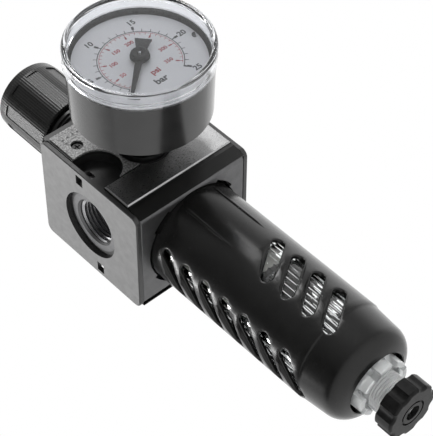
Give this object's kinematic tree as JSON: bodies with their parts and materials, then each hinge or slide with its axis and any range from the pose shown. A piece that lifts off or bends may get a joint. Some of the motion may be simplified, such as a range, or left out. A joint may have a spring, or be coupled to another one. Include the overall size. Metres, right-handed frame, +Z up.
{
  "type": "air filter regulator",
  "caption": "Compressed-air filter-regulator: pull-and-turn pressure knob, round dial gauge, slotted guard over a clear bowl, and a hand-turned drain.",
  "frame": {"origin": "where the line through the two ports crosses the axis of the knob and the bowl", "axes": "+Z up the knob and bowl axis towards the knob; +X from the inlet port to the outlet port; the gauge looks along -Y"},
  "size_m": [0.05, 0.0935, 0.1935],
  "materials": {
    "block": "satin die casting",
    "plate": "machined satin, dark edges",
    "trim": "stippled matt silver",
    "strip": "brushed with bright bevel",
    "black_plastic": "moulded semi-gloss black",
    "guard": "moulded semi-gloss black",
    "knob": "moulded semi-gloss black",
    "clear": "clear moulded polycarbonate",
    "case": "glossy black gauge case",
    "dial": "matt pale printed dial",
    "pointer": "matt black",
    "brass": "machined",
    "steel": "zinc plated",
    "black_steel": "black oxide",
    "rubber": "moulded nitrile",
    "filter": "sintered porous white"
  },
  "bodies": {
    "port_block": {"body": "block", "inlet_plate": "plate", "outlet_plate": "plate", "front_cover": "black_plastic", "rear_cover": "black_plastic", "front_trim_plate": "trim", "rear_trim_plate": "trim", "front_strip": "strip", "rear_strip": "strip", "cover_screws": "black_steel", "rear_plug": "steel", "rear_plug_seal": "rubber", "gauge_seal": "rubber", "bonnet": "black_plastic", "ring_nut": "black_plastic", "thrust_washer": "brass", "range_spring": "steel", "diaphragm": "rubber", "valve_seat": "brass", "valve_spring": "steel", "valve_guide": "black_plastic", "filter_stem": "black_plastic", "deflector": "black_plastic", "filter_element": "filter", "filter_cap": "black_plastic", "gauge_socket": "brass", "gauge_case": "case", "gauge_lens": "clear", "gauge_dial": "dial", "movement_frame": "brass", "bourdon_tube": "brass"},
    "spindle": {"spindle": "steel", "knob_screw": "steel"},
    "knob": {"knob": "knob", "knob_cap": "knob"},
    "spring_nut": {"spring_nut": "brass"},
    "diaphragm_stack": {"diaphragm_plate": "steel", "diaphragm_hub": "brass"},
    "poppet": {"valve_poppet": "brass", "poppet_seal": "rubber"},
    "bowl_assembly": {"bowl_guard": "guard", "bowl": "clear", "bowl_oring": "rubber"},
    "drain_stem": {"drain_stem": "brass", "drain_oring": "rubber"},
    "drain_knob": {"drain_knob": "black_plastic"},
    "pointer": {"gauge_pointer": "pointer", "pinion_arbor": "brass"},
    "sector": {"sector_gear": "brass", "gauge_link": "brass"}
  },
  "joints": [
    {"name": "knob_turn", "type": "hinge", "parent": "port_block", "child": "spindle", "pos_m": [0, 0, 0.055], "axis": [0, 0, -1], "range_deg": [0, 2306]},
    {"name": "knob_lift", "type": "slide", "parent": "spindle", "child": "knob", "axis": [0, 0, 1], "range_m": [0, 0.003]},
    {"name": "nut_travel", "type": "slide", "parent": "port_block", "child": "spring_nut", "axis": [0, 0, -1], "range_m": [0, 0.008], "deforming": ["range_spring"]},
    {"name": "diaphragm_travel", "type": "slide", "parent": "port_block", "child": "diaphragm_stack", "axis": [0, 0, -1], "range_m": [0, 0.0012], "stiffness_N_per_m": 600, "deforming": ["diaphragm"]},
    {"name": "valve_travel", "type": "slide", "parent": "port_block", "child": "poppet", "axis": [0, 0, -1], "range_m": [0, 0.0012], "stiffness_N_per_m": 600, "deforming": ["valve_spring"]},
    {"name": "bowl_turn", "type": "hinge", "parent": "port_block", "child": "bowl_assembly", "pos_m": [0, 0, -0.022], "axis": [0, 0, -1], "range_deg": [0, 45]},
    {"name": "drain_travel", "type": "slide", "parent": "bowl_assembly", "child": "drain_stem", "axis": [0, 0, -1], "range_m": [0, 0.0015]},
    {"name": "drain_turn", "type": "hinge", "parent": "drain_stem", "child": "drain_knob", "pos_m": [0, 0, -0.122], "axis": [0, 0, 1], "range_deg": [0, 542]},
    {"name": "pointer_turn", "type": "hinge", "parent": "port_block", "child": "pointer", "pos_m": [0, -0.061, 0], "axis": [0, 1, 0], "range_deg": [0, 274]},
    {"name": "sector_turn", "type": "hinge", "parent": "port_block", "child": "sector", "pos_m": [0, -0.05, -0.01365], "axis": [0, 1, 0], "range_deg": [-34.5, 0]}
  ],
  "couplings": [
    {"joint": "knob_turn", "follows": "nut_travel", "rad_per_m": 5026.5},
    {"joint": "valve_travel", "follows": "diaphragm_travel", "ratio": 1},
    {"joint": "drain_turn", "follows": "drain_travel", "rad_per_m": 6283.2},
    {"joint": "sector_turn", "follows": "pointer_turn", "ratio": -0.125}
  ]
}
